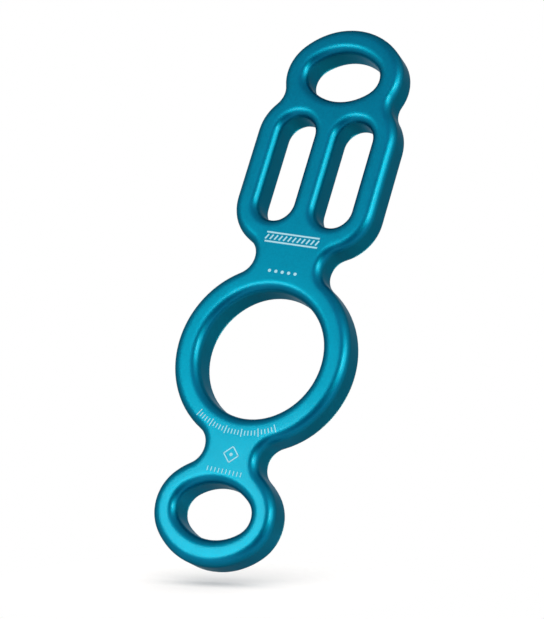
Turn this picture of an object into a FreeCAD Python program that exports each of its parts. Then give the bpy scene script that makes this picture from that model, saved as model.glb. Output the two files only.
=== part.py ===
import FreeCAD, Part
import math
import os
import Sketcher

# Rappel descender: one plate of aluminium alloy with no moving parts.
# +Z runs along the plate towards its slotted end, X runs across it and Y through its thickness.
# The front face looks along -Y. The origin is the centre of the large ring, halfway through the plate.

# Driving dimensions in millimetres
SIZES = {
    "plate_thickness": 12.7,
    "edge_round": 3.175,
    "ring_bore_radius": 23.0,
    "ring_band": 9.6,
    "eye_width": 27.8,
    "eye_height": 19.0,
    "eye_side_radius": 7.0,
    "eye_side_band": 8.8,
    "eye_end_band": 9.3,
    "slot_width": 13.7,
    "slot_length": 40.1,
    "bar_width": 8.8,
    "shoulder_radius": 16.8,
    "neck_fillet": 7.0,
    "waist_web": 25.6,
    "upper_web": 7.3,
    "lower_web": 23.5,
}

# Radii and places that follow from them
PLACES = {
    "ring_outer_radius": "sizes.ring_bore_radius + sizes.ring_band",
    "slot_x": "(sizes.bar_width + sizes.slot_width) / 2",
    "slot_straight": "sizes.slot_length - sizes.slot_width",
    "slot_foot_z": "sizes.ring_bore_radius + sizes.waist_web + sizes.slot_width / 2",
    "slot_head_z": "slot_foot_z + slot_straight",
    "shoulder_x": "1.5 * sizes.bar_width + sizes.slot_width - sizes.shoulder_radius",
    "eye_side_x": "sizes.eye_width / 2 - sizes.eye_side_radius",
    "eye_outer_radius": "sizes.eye_side_radius + sizes.eye_side_band",
    "eye_outer_height": "sizes.eye_height + 2 * sizes.eye_end_band",
    "upper_eye_z": "slot_head_z + sizes.slot_width / 2 + sizes.upper_web + sizes.eye_height / 2",
    "lower_eye_z": "-sizes.ring_bore_radius - sizes.lower_web - sizes.eye_height / 2",
    "bottom_z": "lower_eye_z - eye_outer_height / 2",
}

# Sketcher's numbers for a curve's points, for the origin and for the upright axis
START, END, CENTRE = 1, 2, 3
ORIGIN = (-1, 1)
UPRIGHT = -2

doc = FreeCAD.newDocument("rappel_descender")


def add_sheet(name, rows):
    """A spreadsheet with a name and a value in each row, and the name as the value's alias."""
    sheet = doc.addObject("Spreadsheet::Sheet", name)
    for row, (alias, content) in enumerate(rows.items(), start=1):
        sheet.set(f"A{row}", alias)
        sheet.set(f"B{row}", content)
        sheet.setAlias(f"B{row}", alias)
    doc.recompute()
    return sheet


sizes = add_sheet("sizes", {alias: str(value) for alias, value in SIZES.items()})
places = add_sheet("places", {alias: "=" + formula for alias, formula in PLACES.items()})


def sheet_of(alias):
    return sizes if alias in SIZES else places


def value(alias):
    return float(sheet_of(alias).get(alias))


# Plane geometry: a point is (across, up) in the plane of the plate.


def heading(centre, point):
    """Angle of the line from a centre to a point."""
    return math.atan2(point[1] - centre[1], point[0] - centre[0])


def beside(centre, reach, next_centre, next_reach):
    """The point at the two reaches from two centres, on the right of the line between them."""
    across, up = next_centre[0] - centre[0], next_centre[1] - centre[1]
    apart = math.hypot(across, up)
    along = (reach**2 - next_reach**2 + apart**2) / (2 * apart)
    aside = math.sqrt(reach**2 - along**2)
    return (
        centre[0] + (along * across + aside * up) / apart,
        centre[1] + (along * up - aside * across) / apart,
    )


def oval_cap(side_x, side_radius, half_height):
    """Radius of the long arcs of a four-arc oval, and how far past its middle they are centred."""
    radius = (side_x**2 + half_height**2 - side_radius**2) / (2 * (half_height - side_radius))
    return radius, radius - half_height


def arc(centre, radius, start, end):
    """An arc from one angle anticlockwise to another."""
    circle = Part.Circle(FreeCAD.Vector(*centre, 0), FreeCAD.Vector(0, 0, 1), radius)
    return Part.ArcOfCircle(circle, start, end if end > start else end + 2 * math.pi)


def sweep(centre, radius, first, last):
    """An arc anticlockwise from the direction of one point to that of another."""
    return arc(centre, radius, heading(centre, first), heading(centre, last))


def line(start, end):
    return Part.LineSegment(FreeCAD.Vector(*start, 0), FreeCAD.Vector(*end, 0))


# Sketches and features


def origin_plane(body, role):
    return next(plane for plane in body.Origin.OriginFeatures if plane.Role == role)


def add_sketch(body, name):
    """A sketch halfway through the plate, X across and Z up."""
    sketch = body.newObject("Sketcher::SketchObject", name)
    sketch.AttachmentSupport = [(origin_plane(body, "XZ_Plane"), "")]
    sketch.MapMode = "FlatFace"
    return sketch


def tie(sketch, kind, *elements):
    sketch.addConstraint(Sketcher.Constraint(kind, *elements))


def bind(sketch, alias, kind, *elements):
    """A dimension that has the name of a cell and follows it."""
    index = sketch.addConstraint(Sketcher.Constraint(kind, *elements, value(alias)))
    sketch.renameConstraint(index, alias)
    sketch.setExpression(f"Constraints.{alias}", f"{sheet_of(alias).Name}.{alias}")


def mirror(body, feature, name):
    """A feature repeated on the other side of the plate's upright middle plane."""
    mirrored = body.newObject("PartDesign::Mirrored", name)
    mirrored.Originals = [feature]
    mirrored.MirrorPlane = (origin_plane(body, "YZ_Plane"), [""])
    body.Tip = mirrored
    doc.recompute()
    return mirrored


def cut_through(body, sketch, name):
    """A pocket through the whole plate, both ways from its middle."""
    pocket = body.newObject("PartDesign::Pocket", name)
    pocket.Profile = sketch
    pocket.Type = "ThroughAll"
    pocket.SideType = "Symmetric"
    before = pocket.BaseFeature.Shape.Volume
    doc.recompute()
    if pocket.Shape.Volume >= before:
        raise RuntimeError(f"{name} cuts nothing")
    return pocket


def outline_sketch(body):
    """The right half of the plate's outline, from the foot of the lower eye up to the head."""
    neck = value("neck_fillet")
    ring_radius = value("ring_outer_radius")
    shoulder_radius = value("shoulder_radius")
    side_radius = value("eye_outer_radius")
    cap_radius, past = oval_cap(value("eye_side_x"), side_radius, value("eye_outer_height") / 2)

    ring = (0, 0)
    lower_side = (value("eye_side_x"), value("lower_eye_z"))
    upper_side = (value("eye_side_x"), value("upper_eye_z"))
    foot_cap = (0, value("lower_eye_z") + past)
    crown_cap = (0, value("lower_eye_z") - past)
    head_cap = (0, value("upper_eye_z") - past)
    lower_shoulder = (value("shoulder_x"), value("slot_foot_z"))
    upper_shoulder = (value("shoulder_x"), value("slot_head_z"))
    lower_neck = beside(crown_cap, cap_radius + neck, ring, ring_radius + neck)
    waist = beside(ring, ring_radius + neck, lower_shoulder, shoulder_radius + neck)
    upper_neck = beside(upper_shoulder, shoulder_radius + neck, upper_side, side_radius + neck)
    cap_end = heading(crown_cap, lower_side)
    flank_foot = (lower_shoulder[0] + shoulder_radius, lower_shoulder[1])
    flank_head = (upper_shoulder[0] + shoulder_radius, upper_shoulder[1])
    top_z = value("upper_eye_z") + value("eye_outer_height") / 2

    # Each curve in order, with the one of its points that the outline meets first
    steps = {
        "foot": (arc(foot_cap, cap_radius, -math.pi / 2, -cap_end), START),
        "lower_side": (arc(lower_side, side_radius, -cap_end, cap_end), START),
        "crown": (sweep(crown_cap, cap_radius, lower_side, lower_neck), START),
        "lower_neck": (sweep(lower_neck, neck, ring, crown_cap), END),
        "ring": (sweep(ring, ring_radius, lower_neck, waist), START),
        "waist": (sweep(waist, neck, lower_shoulder, ring), END),
        "lower_shoulder": (sweep(lower_shoulder, shoulder_radius, waist, flank_foot), START),
        "flank": (line(flank_foot, flank_head), START),
        "upper_shoulder": (sweep(upper_shoulder, shoulder_radius, flank_head, upper_neck), START),
        "upper_neck": (sweep(upper_neck, neck, upper_side, upper_shoulder), END),
        "upper_side": (arc(upper_side, side_radius, heading(upper_side, upper_neck), cap_end), START),
        "head": (arc(head_cap, cap_radius, cap_end, math.pi / 2), START),
    }
    sketch = add_sketch(body, "OutlineSketch")
    curve = {name: sketch.addGeometry(geometry) for name, (geometry, first) in steps.items()}
    first = {name: meets_first for name, (geometry, meets_first) in steps.items()}
    for name, after in zip(list(steps)[:-1], list(steps)[1:]):
        last = END if first[name] == START else START
        tie(sketch, "Tangent", curve[name], last, curve[after], first[after])
    seam = sketch.addGeometry(line((0, top_z), (0, value("bottom_z"))))
    tie(sketch, "Coincident", curve["head"], END, seam, START)
    tie(sketch, "Coincident", seam, END, curve["foot"], START)
    tie(sketch, "PointOnObject", seam, START, UPRIGHT)
    tie(sketch, "PointOnObject", seam, END, UPRIGHT)
    for cap in ("foot", "crown", "head"):
        tie(sketch, "PointOnObject", curve[cap], CENTRE, UPRIGHT)
    tie(sketch, "Equal", curve["foot"], curve["crown"])
    tie(sketch, "Equal", curve["foot"], curve["head"])
    bind(sketch, "bottom_z", "DistanceY", *ORIGIN, curve["foot"], START)
    bind(sketch, "lower_eye_z", "DistanceY", *ORIGIN, curve["lower_side"], CENTRE)
    bind(sketch, "upper_eye_z", "DistanceY", *ORIGIN, curve["upper_side"], CENTRE)
    bind(sketch, "eye_side_x", "DistanceX", *ORIGIN, curve["lower_side"], CENTRE)
    tie(sketch, "Vertical", curve["lower_side"], CENTRE, curve["upper_side"], CENTRE)
    bind(sketch, "eye_outer_radius", "Radius", curve["lower_side"])
    tie(sketch, "Equal", curve["lower_side"], curve["upper_side"])
    tie(sketch, "Coincident", curve["ring"], CENTRE, *ORIGIN)
    bind(sketch, "ring_outer_radius", "Radius", curve["ring"])
    bind(sketch, "neck_fillet", "Radius", curve["lower_neck"])
    tie(sketch, "Equal", curve["lower_neck"], curve["waist"])
    tie(sketch, "Equal", curve["lower_neck"], curve["upper_neck"])
    bind(sketch, "shoulder_x", "DistanceX", *ORIGIN, curve["lower_shoulder"], CENTRE)
    bind(sketch, "slot_foot_z", "DistanceY", *ORIGIN, curve["lower_shoulder"], CENTRE)
    bind(sketch, "shoulder_radius", "Radius", curve["lower_shoulder"])
    tie(sketch, "Equal", curve["lower_shoulder"], curve["upper_shoulder"])
    tie(sketch, "Vertical", curve["flank"])
    bind(sketch, "slot_straight", "DistanceY", curve["flank"], START, curve["flank"], END)
    return sketch


def ring_bore_sketch(body):
    sketch = add_sketch(body, "RingBoreSketch")
    radius = value("ring_bore_radius")
    bore = sketch.addGeometry(Part.Circle(FreeCAD.Vector(), FreeCAD.Vector(0, 0, 1), radius))
    tie(sketch, "Coincident", bore, CENTRE, *ORIGIN)
    bind(sketch, "ring_bore_radius", "Radius", bore)
    return sketch


def eye_sketch(body, name, height_alias):
    """A four-arc oval, wider than it is high, with its middle at the height in a cell."""
    side_x, middle_z = value("eye_side_x"), value(height_alias)
    side_radius, half_height = value("eye_side_radius"), value("eye_height") / 2
    cap_radius, past = oval_cap(side_x, side_radius, half_height)
    right, left = (side_x, middle_z), (-side_x, middle_z)
    over, under = (0, middle_z - past), (0, middle_z + past)
    sketch = add_sketch(body, name)
    arcs = [
        arc(right, side_radius, heading(under, right), heading(over, right)),
        arc(over, cap_radius, heading(over, right), heading(over, left)),
        arc(left, side_radius, heading(over, left), heading(under, left)),
        arc(under, cap_radius, heading(under, left), heading(under, right)),
    ]
    curves = list(sketch.addGeometry(arcs))
    for curve, after in zip(curves, curves[1:] + curves[:1]):
        tie(sketch, "Tangent", curve, END, after, START)
    right_side, top_cap, left_side, bottom_cap = curves
    tall = sketch.addGeometry(line((0, middle_z - half_height), (0, middle_z + half_height)), True)
    tie(sketch, "PointOnObject", tall, START, bottom_cap)
    tie(sketch, "PointOnObject", tall, END, top_cap)
    tie(sketch, "PointOnObject", tall, START, UPRIGHT)
    tie(sketch, "PointOnObject", tall, END, UPRIGHT)
    tie(sketch, "PointOnObject", top_cap, CENTRE, UPRIGHT)
    tie(sketch, "Symmetric", right_side, CENTRE, left_side, CENTRE, UPRIGHT)
    tie(sketch, "Equal", top_cap, bottom_cap)
    bind(sketch, "eye_side_radius", "Radius", right_side)
    bind(sketch, "eye_side_x", "DistanceX", *ORIGIN, right_side, CENTRE)
    bind(sketch, height_alias, "DistanceY", *ORIGIN, right_side, CENTRE)
    bind(sketch, "eye_height", "DistanceY", tall, START, tall, END)
    return sketch


def slot_sketch(body):
    """The right rope slot, with full round ends."""
    middle_x, foot_z = value("slot_x"), value("slot_foot_z")
    head_z, radius = value("slot_head_z"), value("slot_width") / 2
    sketch = add_sketch(body, "RopeSlotSketch")
    head, left, foot, right = sketch.addGeometry([
        arc((middle_x, head_z), radius, 0, math.pi),
        line((middle_x - radius, head_z), (middle_x - radius, foot_z)),
        arc((middle_x, foot_z), radius, math.pi, 2 * math.pi),
        line((middle_x + radius, foot_z), (middle_x + radius, head_z)),
    ])
    for curve, after in ((head, left), (left, foot), (foot, right), (right, head)):
        tie(sketch, "Tangent", curve, END, after, START)
    tie(sketch, "Vertical", left)
    tie(sketch, "Equal", head, foot)
    bind(sketch, "slot_width", "Diameter", foot)
    bind(sketch, "slot_x", "DistanceX", *ORIGIN, foot, CENTRE)
    bind(sketch, "slot_foot_z", "DistanceY", *ORIGIN, foot, CENTRE)
    bind(sketch, "slot_straight", "DistanceY", foot, CENTRE, head, CENTRE)
    return sketch


def flat_faces(shape):
    """Names of the front and back faces."""
    return [
        f"Face{number}"
        for number, face in enumerate(shape.Faces, start=1)
        if isinstance(face.Surface, Part.Plane) and abs(face.Surface.Axis.y) > abs(face.Surface.Axis.x)
    ]


def descender_body():
    body = doc.addObject("PartDesign::Body", "DescenderBody")
    body.Label = "descender_body"
    half = body.newObject("PartDesign::Pad", "HalfPlate")
    half.Profile = outline_sketch(body)
    half.SideType = "Symmetric"
    half.setExpression("Length", "sizes.plate_thickness")
    doc.recompute()
    mirror(body, half, "WholePlate")
    cut_through(body, ring_bore_sketch(body), "RingBore")
    cut_through(body, eye_sketch(body, "UpperEyeSketch", "upper_eye_z"), "UpperEye")
    cut_through(body, eye_sketch(body, "LowerEyeSketch", "lower_eye_z"), "LowerEye")
    slot = cut_through(body, slot_sketch(body), "RopeSlot")
    slots = mirror(body, slot, "BothRopeSlots")
    rounding = body.newObject("PartDesign::Fillet", "RoundedEdges")
    rounding.Base = (slots, flat_faces(slots.Shape))
    rounding.setExpression("Radius", "sizes.edge_round")
    doc.recompute()
    return body


def check(body):
    """Stops with a message if anything in the document or in the finished plate went wrong."""
    for item in doc.Objects:
        if "Invalid" in item.State or "Error" in item.State:
            raise RuntimeError(f"{item.Label} failed: {item.State}")
        if item.isDerivedFrom("Sketcher::SketchObject") and not item.FullyConstrained:
            raise RuntimeError(f"{item.Label} isn't fully constrained")
    if body.Shape.isNull() or not body.Shape.isValid() or len(body.Shape.Solids) != 1:
        raise RuntimeError(f"{body.Label} isn't one valid solid")


plate = descender_body()
check(plate)
os.makedirs("parts", exist_ok=True)
plate.Shape.exportStep(f"parts/{plate.Label}.step")
box = plate.Shape.optimalBoundingBox()
print(f"{plate.Label}: {plate.Shape.Volume:.1f} mm3")
print(f"{box.XLength:.2f} x {box.YLength:.2f} x {box.ZLength:.2f} mm")
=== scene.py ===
import math

import bmesh
import bpy
from mathutils import Matrix, Vector


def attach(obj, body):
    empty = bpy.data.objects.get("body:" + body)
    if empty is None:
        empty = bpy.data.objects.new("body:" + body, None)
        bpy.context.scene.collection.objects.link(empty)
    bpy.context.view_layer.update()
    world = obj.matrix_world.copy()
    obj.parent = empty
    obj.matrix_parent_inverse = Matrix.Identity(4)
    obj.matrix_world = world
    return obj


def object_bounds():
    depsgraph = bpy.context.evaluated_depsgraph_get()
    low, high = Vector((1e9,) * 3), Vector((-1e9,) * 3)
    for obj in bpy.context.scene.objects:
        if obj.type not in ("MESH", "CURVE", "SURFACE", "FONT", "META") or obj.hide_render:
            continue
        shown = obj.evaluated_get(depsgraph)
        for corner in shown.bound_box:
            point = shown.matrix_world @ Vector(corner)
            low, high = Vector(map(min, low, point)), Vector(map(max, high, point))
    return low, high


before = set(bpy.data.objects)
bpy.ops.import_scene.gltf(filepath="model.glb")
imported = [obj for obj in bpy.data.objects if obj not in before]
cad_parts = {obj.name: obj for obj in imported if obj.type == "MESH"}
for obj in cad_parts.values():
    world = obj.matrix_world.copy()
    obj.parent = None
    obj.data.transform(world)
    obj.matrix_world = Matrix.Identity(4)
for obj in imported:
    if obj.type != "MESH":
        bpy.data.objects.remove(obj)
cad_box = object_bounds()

WHITE = (1.0, 1.0, 1.0, 1.0)

# The camera: where it looks and from where, in metres and degrees
VIEW_AZIMUTH = 28.05
VIEW_ELEVATION = -14.05
VIEW_ROLL = 16.66
VIEW_TARGET = Vector((-0.00304, 0.0, 0.01754))
VIEW_DISTANCE = 0.5977
LENS = 100.17
SENSOR = 36.0

# The dyed metal: its colour, its tint at grazing angles, and faint clouds in the dye
DYE = (0.0006, 0.20, 0.35, 1.0)
EDGE_TINT = (0.4, 0.4, 0.4, 1.0)
CLOUD_SIZE = 0.008
CLOUD_DETAIL = 2.0
CLOUD_SPREAD = 0.10

# Its satin surface, with a tumbled grain that changes roughness, tone and height
SATIN = 0.40
SATIN_SPREAD = 0.04
GRAIN_SIZE = 0.0006
GRAIN_DETAIL = 3.0
GRAIN_DEPTH = 0.000007
GRAIN_SPREAD = 0.16

# Tumbling also softens the border between flat and rounded, over this reach
TUMBLED_REACH = 0.002
TUMBLED_SAMPLES = 12

# The clear oxide over the dye
OXIDE_INDEX = 1.6
OXIDE_WEIGHT = 0.055
OXIDE_ROUGHNESS = 0.15

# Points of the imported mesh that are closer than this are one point
SEAM_GAP = 0.000001

# The etched marks on the front land: places and sizes in metres, angles in degrees
MARK_HEIGHT = 0.00002
MARK_PALE = (0.35, 0.64, 0.74, 1.0)
MARK_ROUGHNESS = 0.6
MARK_DETAIL = 2.0
MARK_SPREAD = 0.12
HATCH_CENTRE = (0.0, 0.0417)
HATCH_SIZE = (0.0206, 0.0034)
HATCH_STROKES = 12
HATCH_STROKE_SHARE = 0.6
HATCH_FILLED_SHARE = 0.95
HATCH_SLANT = 60.0
HATCH_LINE = 0.0006
DOTS_CENTRE = (0.0, 0.0295)
DOTS_LENGTH = 0.0100
DOTS = 5
DOT_RADIUS = 0.0006
DOT_SIDES = 20
SCALE_RADIUS = 0.0286
SCALE_FIRST = -122.0
SCALE_LAST = -60.0
SCALE_TICKS = 26
SCALE_LONG_EVERY = 5
SCALE_LONG = 0.0028
SCALE_SHORT = 0.0017
SCALE_LINE = 0.00035
DIAMOND_CENTRE = (0.0012, -0.0364)
DIAMOND_REACH = 0.0028
DIAMOND_LINE = 0.0004
TICKS_CENTRE = (0.0005, -0.0425)
TICKS_LENGTH = 0.0128
TICKS = 10
TICK_HEIGHT = 0.0016
TICK_LINE = 0.0003

# The round softboxes. Each has its direction from the part, as shares of the camera's right, up and
# back, then its width in metres and the brightness of its face.
SOFTBOX_DISTANCE = 1.0
SOFTBOXES = {
    "left_softbox": ((-0.718, 0.326, 0.616), 0.38, 8.2),
    "middle_softbox": ((0.386, 0.384, 0.834), 0.24, 18.7),
    "right_softbox": ((0.710, 0.304, 0.635), 0.57, 3.0),
    "back_softbox": ((0.389, -0.340, -0.856), 0.28, 9.0),
}
LAMP_COLOUR = (1.0, 1.0, 0.70)

# The tent, a sphere of cloth that is open beyond this share of its radius behind the part. Its stops
# run from there, 0, to the camera's side, 1. Each gives the brightness in red and green, and in blue.
TENT_RADIUS = 1.5
TENT_SEGMENTS = 48
TENT_RINGS = 24
TENT_OPEN_SHARE = 0.94
TENT_STOPS = {
    0.0: (0.70, 0.63),
    0.25: (0.22, 0.20),
    0.5: (0.44, 0.42),
    0.7: (0.35, 0.38),
    0.85: (0.75, 0.80),
    0.935: (0.22, 0.27),
    1.0: (0.02, 0.17),
}

# How much more the tent glows at its far left and right. Its blue gains the second share at the top
# and loses it at the bottom.
TENT_SIDES = 0.6
TENT_SKY = 0.06

# The floor: its gap under the part, and the two distances from its middle between which it fades out.
# Its normal is in shares of the camera's right, up and back, as is the direction of its lamp.
FLOOR_GAP = 0.0034
FLOOR_RADIUS = 0.08
FLOOR_SIDES = 96
FLOOR_FADE = (0.04, 0.075)
FLOOR_NORMAL = (-0.015, 1.0, -0.010)
FLOOR_PAINT = (0.604, 0.595, 0.588, 1.0)
FLOOR_GLOW = (0.275, 0.267, 0.261, 1.0)
FLOOR_LAMP_FROM = (0.16, 0.98, -0.10)
FLOOR_LAMP_ANGLE = 110.0
FLOOR_LAMP_STRENGTH = 1.8
WORLD_STRENGTH = 0.9

# How clear the floor is to reflections, because at full strength it made the walls near it too bright
FLOOR_UNREFLECTED = 0.75


def emptied_tree(owner, output):
    """The node tree of a material or world, with nothing in it but an output node."""
    owner.use_nodes = True
    tree = owner.node_tree
    tree.nodes.clear()
    return tree, tree.nodes.new(output)


def new_material(name):
    """A material with an empty node tree and its output node."""
    material = bpy.data.materials.new(name)
    tree, output = emptied_tree(material, "ShaderNodeOutputMaterial")
    return material, tree, output


def sample_not_as_lamp(material):
    """Keeps a glowing surface from being sampled as a lamp, which makes highlights jagged."""
    material.cycles.emission_sampling = "NONE"


def new_object(name, data):
    """An object that is in the scene."""
    thing = bpy.data.objects.new(name, data)
    bpy.context.scene.collection.objects.link(thing)
    return thing


def new_mesh(name, shape, finish):
    """A mesh in one material, made from a bmesh, which is freed."""
    mesh = bpy.data.meshes.new(name)
    shape.to_mesh(mesh)
    shape.free()
    mesh.materials.append(finish)
    return mesh


def remap(tree, value, before, after):
    """Carries a value from one range to another and stops it at both ends."""
    node = tree.nodes.new("ShaderNodeMapRange")
    node.inputs["From Min"].default_value = before[0]
    node.inputs["From Max"].default_value = before[1]
    node.inputs["To Min"].default_value = after[0]
    node.inputs["To Max"].default_value = after[1]
    tree.links.new(value, node.inputs["Value"])
    return node.outputs["Result"]


def spread(tree, factor, middle, reach):
    """Maps a 0 to 1 factor to middle - reach up to middle + reach."""
    return remap(tree, factor, (0.0, 1.0), (middle - reach, middle + reach))


def maths(tree, operation, *values):
    """The result of a Math node."""
    node = tree.nodes.new("ShaderNodeMath")
    node.operation = operation
    for value, socket in zip(values, node.inputs):
        tree.links.new(value, socket)
    return node.outputs["Value"]


def largest(tree, *factors):
    """The largest of several factors."""
    total = factors[0]
    for factor in factors[1:]:
        total = maths(tree, "MAXIMUM", total, factor)
    return total


def shown(tree, path):
    """1 for what the camera sees, also by way of metal and glass."""
    return largest(
        tree,
        path.outputs["Is Camera Ray"],
        path.outputs["Is Glossy Ray"],
        path.outputs["Is Transmission Ray"],
    )


def object_noise(tree, size, detail):
    """Noise in object space whose features are about size across, in metres."""
    place = tree.nodes.new("ShaderNodeTexCoord")
    noise = tree.nodes.new("ShaderNodeTexNoise")
    noise.inputs["Scale"].default_value = 1.0 / size
    noise.inputs["Detail"].default_value = detail
    tree.links.new(place.outputs["Object"], noise.inputs["Vector"])
    return noise.outputs["Fac"]


def toned(tree, colour, tone):
    """A colour whose brightness is multiplied by a tone near 1."""
    node = tree.nodes.new("ShaderNodeHueSaturation")
    node.inputs["Color"].default_value = colour
    tree.links.new(tone, node.inputs["Value"])
    return node.outputs["Color"]


def tumbled_normal(tree, grain):
    """Normals that are softened where flat meets rounded, with the grain's bumps on them."""
    soft = tree.nodes.new("ShaderNodeBevel")
    soft.samples = TUMBLED_SAMPLES
    soft.inputs["Radius"].default_value = TUMBLED_REACH
    bump = tree.nodes.new("ShaderNodeBump")
    bump.inputs["Distance"].default_value = GRAIN_DEPTH
    tree.links.new(grain, bump.inputs["Height"])
    tree.links.new(soft.outputs["Normal"], bump.inputs["Normal"])
    return bump.outputs["Normal"]


def anodised_material():
    """Satin anodised aluminium: dyed metal under a clear oxide, with a fine tumbled grain."""
    material, tree, output = new_material("satin_anodising")
    metal = tree.nodes.new("ShaderNodeBsdfPrincipled")
    metal.inputs["Metallic"].default_value = 1.0
    metal.inputs["Specular Tint"].default_value = EDGE_TINT
    metal.inputs["Coat Weight"].default_value = OXIDE_WEIGHT
    metal.inputs["Coat Roughness"].default_value = OXIDE_ROUGHNESS
    metal.inputs["Coat IOR"].default_value = OXIDE_INDEX
    clouds = object_noise(tree, CLOUD_SIZE, CLOUD_DETAIL)
    grain = object_noise(tree, GRAIN_SIZE, GRAIN_DETAIL)
    cloud_tone = spread(tree, clouds, 1.0, CLOUD_SPREAD)
    grain_tone = spread(tree, grain, 1.0, GRAIN_SPREAD)
    tone = maths(tree, "MULTIPLY", cloud_tone, grain_tone)
    tree.links.new(toned(tree, DYE, tone), metal.inputs["Base Color"])
    tree.links.new(spread(tree, grain, SATIN, SATIN_SPREAD), metal.inputs["Roughness"])
    tree.links.new(tumbled_normal(tree, grain), metal.inputs["Normal"])
    tree.links.new(metal.outputs["BSDF"], output.inputs["Surface"])
    return material


def mark_material():
    """Pale bare metal where the dye is burnt away, a little uneven."""
    material, tree, output = new_material("etched_metal")
    metal = tree.nodes.new("ShaderNodeBsdfPrincipled")
    metal.inputs["Roughness"].default_value = MARK_ROUGHNESS
    speckle = object_noise(tree, GRAIN_SIZE, MARK_DETAIL)
    tone = spread(tree, speckle, 1.0, MARK_SPREAD)
    tree.links.new(toned(tree, MARK_PALE, tone), metal.inputs["Base Color"])
    tree.links.new(metal.outputs["BSDF"], output.inputs["Surface"])
    return material


def dress_body(body):
    """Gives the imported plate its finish, and even shading across the seams of its mesh."""
    finish = anodised_material()
    for place in body.material_slots:
        place.material = finish
    seams = body.modifiers.new("joined_seams", "WELD")
    seams.merge_threshold = SEAM_GAP
    shading = body.modifiers.new("even_shading", "WEIGHTED_NORMAL")
    shading.mode = "FACE_AREA_WITH_ANGLE"
    shading.keep_sharp = False


def bar(centre, length, width, angle):
    """The corners of a straight stroke on the front land."""
    middle = Vector(centre)
    along = Vector((math.cos(angle), math.sin(angle))) * length / 2
    across = Vector((-math.sin(angle), math.cos(angle))) * width / 2
    return [
        middle - along - across,
        middle + along - across,
        middle + along + across,
        middle - along + across,
    ]


def dot(centre, radius):
    """The outline of a round dot on the front land."""
    middle = Vector(centre)
    turns = [math.tau * step / DOT_SIDES for step in range(DOT_SIDES)]
    return [middle + Vector((math.cos(turn), math.sin(turn))) * radius for turn in turns]


def evenly(centre, length, count):
    """Points in a level row."""
    x, z = centre
    return [(x + length * (step / (count - 1) - 0.5), z) for step in range(count)]


def hatch():
    """A band of slanted strokes between two level lines."""
    x, z = HATCH_CENTRE
    length, height = HATCH_SIZE
    slant = math.radians(HATCH_SLANT)
    stroke = height * HATCH_STROKE_SHARE
    places = evenly(HATCH_CENTRE, length * HATCH_FILLED_SHARE, HATCH_STROKES)
    strokes = [bar(place, stroke, HATCH_LINE, slant) for place in places]
    rails = [bar((x, z + side * height / 2), length, HATCH_LINE, 0.0) for side in (-1, 1)]
    return strokes + rails


def dots():
    """A level row of dots."""
    return [dot(place, DOT_RADIUS) for place in evenly(DOTS_CENTRE, DOTS_LENGTH, DOTS)]


def ring_scale():
    """Plain graduations that follow the ring."""
    strokes = []
    for step in range(SCALE_TICKS):
        angle = math.radians(SCALE_FIRST + (SCALE_LAST - SCALE_FIRST) * step / (SCALE_TICKS - 1))
        length = SCALE_SHORT if step % SCALE_LONG_EVERY else SCALE_LONG
        place = (SCALE_RADIUS * math.cos(angle), SCALE_RADIUS * math.sin(angle))
        strokes.append(bar(place, length, SCALE_LINE, angle))
    return strokes


def diamond():
    """An open diamond with a dot in it."""
    x, z = DIAMOND_CENTRE
    half = DIAMOND_REACH / 2
    length = DIAMOND_REACH * math.sqrt(2.0)
    slant = math.pi / 4
    sides = [
        bar((x + half * right, z + half * up), length, DIAMOND_LINE, -slant * right * up)
        for right in (-1, 1)
        for up in (-1, 1)
    ]
    return sides + [dot(DIAMOND_CENTRE, DOT_RADIUS)]


def ticks():
    """A level row of upright strokes."""
    upright = math.pi / 2
    places = evenly(TICKS_CENTRE, TICKS_LENGTH, TICKS)
    return [bar(place, TICK_HEIGHT, TICK_LINE, upright) for place in places]


def add_mark(name, outlines, finish):
    """A thin etched mark: each outline, x and z on the front land, becomes a closed flat prism."""
    land = cad_box[0].y
    shape = bmesh.new()
    for outline in outlines:
        front = [shape.verts.new((x, land - MARK_HEIGHT, z)) for x, z in outline]
        back = [shape.verts.new((x, land + MARK_HEIGHT, z)) for x, z in outline]
        shape.faces.new(front)
        shape.faces.new(back[::-1])
        for step in range(len(front)):
            after = (step + 1) % len(front)
            shape.faces.new((front[after], front[step], back[step], back[after]))
    bmesh.ops.recalc_face_normals(shape, faces=shape.faces)
    mark = new_object(name, new_mesh(name, shape, finish))
    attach(mark, "root")


def add_marks():
    """The plain etched marks on the front land."""
    finish = mark_material()
    add_mark("hatch_mark", hatch(), finish)
    add_mark("dot_mark", dots(), finish)
    add_mark("scale_mark", ring_scale(), finish)
    add_mark("diamond_mark", diamond(), finish)
    add_mark("tick_mark", ticks(), finish)


def photo_axes():
    """The camera's right, up and back directions."""
    azimuth = math.radians(VIEW_AZIMUTH)
    elevation = math.radians(VIEW_ELEVATION)
    back = Vector((
        math.sin(azimuth) * math.cos(elevation),
        -math.cos(azimuth) * math.cos(elevation),
        math.sin(elevation),
    ))
    level = (-back).to_track_quat("-Z", "Y").to_matrix()
    roll = Matrix.Rotation(math.radians(VIEW_ROLL), 3, back)
    return roll @ level.col[0], roll @ level.col[1], back


def along_axes(axes, shares):
    """The direction with these shares of the camera's right, up and back."""
    return sum((axis * share for axis, share in zip(axes, shares)), Vector()).normalized()


def stand(place, axes):
    """The transform of something at a place, turned to these X, Y and Z directions."""
    return Matrix.Translation(place) @ Matrix(axes).transposed().to_4x4()


def upright_on(normal):
    """The turn of something whose Z axis follows a normal."""
    return normal.to_track_quat("Z", "Y").to_matrix().to_4x4()


def add_camera(axes):
    """The camera that sees the part as the photograph does."""
    data = bpy.data.cameras.new("camera")
    data.lens = LENS
    data.sensor_width = SENSOR
    camera = new_object("camera", data)
    camera.matrix_world = stand(VIEW_TARGET + axes[2] * VIEW_DISTANCE, axes)
    bpy.context.scene.camera = camera


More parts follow.
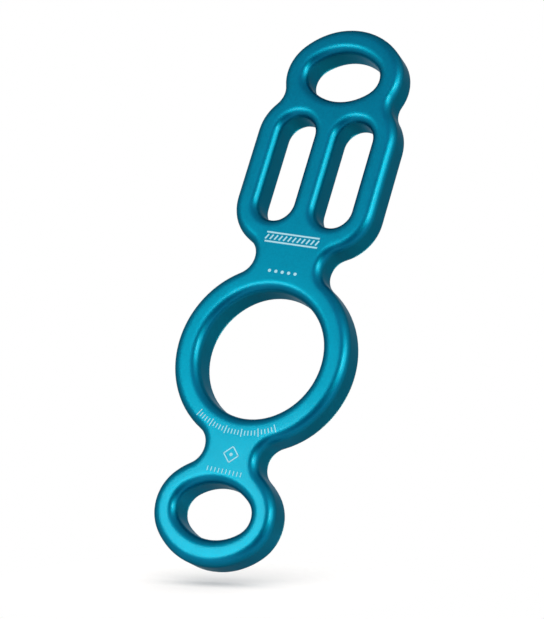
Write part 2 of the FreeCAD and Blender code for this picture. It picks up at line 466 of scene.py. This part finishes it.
def add_world():
    """A plain grey light that the camera, metal and glass see as a white background."""
    world = bpy.data.worlds.new("studio")
    tree, output = emptied_tree(world, "ShaderNodeOutputWorld")
    path = tree.nodes.new("ShaderNodeLightPath")
    background = tree.nodes.new("ShaderNodeBackground")
    background.inputs["Color"].default_value = WHITE
    strength = remap(tree, shown(tree, path), (0.0, 1.0), (WORLD_STRENGTH, 1.0))
    tree.links.new(strength, background.inputs["Strength"])
    tree.links.new(background.outputs["Background"], output.inputs["Surface"])
    bpy.context.scene.world = world


def floor_paint(tree, path):
    """Pale paint, brought up to white by a glow that only the camera, metal and glass see."""
    paint = tree.nodes.new("ShaderNodeBsdfDiffuse")
    paint.inputs["Color"].default_value = FLOOR_PAINT
    glow = tree.nodes.new("ShaderNodeEmission")
    glow.inputs["Color"].default_value = FLOOR_GLOW
    both = tree.nodes.new("ShaderNodeAddShader")
    tree.links.new(shown(tree, path), glow.inputs["Strength"])
    tree.links.new(paint.outputs["BSDF"], both.inputs[0])
    tree.links.new(glow.outputs["Emission"], both.inputs[1])
    return both.outputs["Shader"]


def floor_clearness(tree, path):
    """How clear the floor is: wholly at its rim and from below, and largely to reflections."""
    place = tree.nodes.new("ShaderNodeTexCoord")
    reach = tree.nodes.new("ShaderNodeVectorMath")
    reach.operation = "LENGTH"
    side = tree.nodes.new("ShaderNodeNewGeometry")
    tree.links.new(place.outputs["Object"], reach.inputs[0])
    at_rim = remap(tree, reach.outputs["Value"], FLOOR_FADE, (0.0, 1.0))
    reflected = remap(tree, path.outputs["Is Glossy Ray"], (0.0, 1.0), (0.0, FLOOR_UNREFLECTED))
    return largest(tree, at_rim, side.outputs["Backfacing"], reflected)


def floor_material():
    """A pale floor that shows the part's shadow and melts into the white background."""
    material, tree, output = new_material("pale_floor")
    path = tree.nodes.new("ShaderNodeLightPath")
    nothing = tree.nodes.new("ShaderNodeBsdfTransparent")
    faded = tree.nodes.new("ShaderNodeMixShader")
    tree.links.new(floor_clearness(tree, path), faded.inputs["Fac"])
    tree.links.new(floor_paint(tree, path), faded.inputs[1])
    tree.links.new(nothing.outputs["BSDF"], faded.inputs[2])
    tree.links.new(faded.outputs["Shader"], output.inputs["Surface"])
    sample_not_as_lamp(material)
    return material


def floor_centre(body, normal):
    """The middle of the floor: under the part's lower end, and a gap below its lowest point."""
    lowest = min(vertex.co.dot(normal) for vertex in body.data.vertices)
    foot = Vector((0.0, 0.0, cad_box[0].z))
    return foot + normal * (lowest - FLOOR_GAP - foot.dot(normal))


def add_floor(axes, body):
    """A round floor, level in the photograph, just under the part's lower end."""
    normal = along_axes(axes, FLOOR_NORMAL)
    shape = bmesh.new()
    bmesh.ops.create_circle(shape, cap_ends=True, segments=FLOOR_SIDES, radius=FLOOR_RADIUS)
    floor = new_object("floor", new_mesh("floor", shape, floor_material()))
    floor.matrix_world = Matrix.Translation(floor_centre(body, normal)) @ upright_on(normal)


def add_softbox(name, axes, shares, width, glow):
    """A round lamp that faces the part and shows in reflections alone, its face glow bright."""
    data = bpy.data.lights.new(name, "AREA")
    data.shape = "DISK"
    data.size = width
    data.color = LAMP_COLOUR
    area = math.pi * (width / 2) ** 2
    data.energy = glow * math.pi * area
    out = along_axes(axes, shares)
    side = axes[1].cross(out).normalized()
    lamp = new_object(name, data)
    lamp.matrix_world = stand(VIEW_TARGET + out * SOFTBOX_DISTANCE, (side, out.cross(side), out))
    lamp.visible_camera = False
    lamp.visible_diffuse = False


def tent_colour(tree, forward, upward):
    """The cloth's colour, graded from behind the part to the camera's side and from bottom to top."""
    across = (-TENT_RADIUS, TENT_RADIUS)
    ramp = tree.nodes.new("ShaderNodeValToRGB")
    stops = ramp.color_ramp.elements
    while len(stops) < len(TENT_STOPS):
        stops.new(1.0)
    for stop, (position, (grey, blue)) in zip(stops, TENT_STOPS.items()):
        stop.position = position
        stop.color = (grey, grey, blue, 1.0)
    tint = tree.nodes.new("ShaderNodeCombineXYZ")
    tint.inputs["X"].default_value = 1.0
    tint.inputs["Y"].default_value = 1.0
    colour = tree.nodes.new("ShaderNodeVectorMath")
    colour.operation = "MULTIPLY"
    blueness = remap(tree, upward, across, (1.0 - TENT_SKY, 1.0 + TENT_SKY))
    tree.links.new(remap(tree, forward, across, (0.0, 1.0)), ramp.inputs["Fac"])
    tree.links.new(blueness, tint.inputs["Z"])
    tree.links.new(ramp.outputs["Color"], colour.inputs[0])
    tree.links.new(tint.outputs["Vector"], colour.inputs[1])
    return colour.outputs["Vector"]


def tent_material():
    """Grey cloth that glows, and more so far to the left and right."""
    material, tree, output = new_material("grey_tent")
    place = tree.nodes.new("ShaderNodeTexCoord")
    split = tree.nodes.new("ShaderNodeSeparateXYZ")
    glow = tree.nodes.new("ShaderNodeEmission")
    tree.links.new(place.outputs["Object"], split.inputs["Vector"])
    aside = maths(tree, "ABSOLUTE", split.outputs["X"])
    strength = remap(tree, aside, (0.0, TENT_RADIUS), (1.0, 1.0 + TENT_SIDES))
    colour = tent_colour(tree, split.outputs["Z"], split.outputs["Y"])
    tree.links.new(colour, glow.inputs["Color"])
    tree.links.new(strength, glow.inputs["Strength"])
    tree.links.new(glow.outputs["Emission"], output.inputs["Surface"])
    sample_not_as_lamp(material)
    return material


def add_tent(axes):
    """A grey tent round the part that only reflections see."""
    shape = bmesh.new()
    bmesh.ops.create_uvsphere(
        shape, u_segments=TENT_SEGMENTS, v_segments=TENT_RINGS, radius=TENT_RADIUS
    )
    behind = [vertex for vertex in shape.verts if vertex.co.z < -TENT_RADIUS * TENT_OPEN_SHARE]
    bmesh.ops.delete(shape, geom=behind, context="VERTS")
    tent = new_object("tent", new_mesh("tent", shape, tent_material()))
    tent.matrix_world = stand(VIEW_TARGET, axes)
    tent.visible_camera = False
    tent.visible_shadow = False
    tent.visible_diffuse = False


def add_floor_lamp(axes):
    """A soft lamp above the part that only lights the floor, for the part's shadow."""
    data = bpy.data.lights.new("floor_lamp", "SUN")
    data.energy = FLOOR_LAMP_STRENGTH
    data.angle = math.radians(FLOOR_LAMP_ANGLE)
    lamp = new_object("floor_lamp", data)
    lamp.matrix_world = upright_on(along_axes(axes, FLOOR_LAMP_FROM))
    lamp.visible_glossy = False
    lamp.visible_camera = False


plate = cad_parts["descender_body"]
view_axes = photo_axes()
bpy.context.scene.view_settings.view_transform = "Standard"
dress_body(plate)
add_camera(view_axes)
add_world()
add_floor(view_axes, plate)
for name, settings in SOFTBOXES.items():
    add_softbox(name, view_axes, *settings)
add_tent(view_axes)
add_floor_lamp(view_axes)
add_marks()
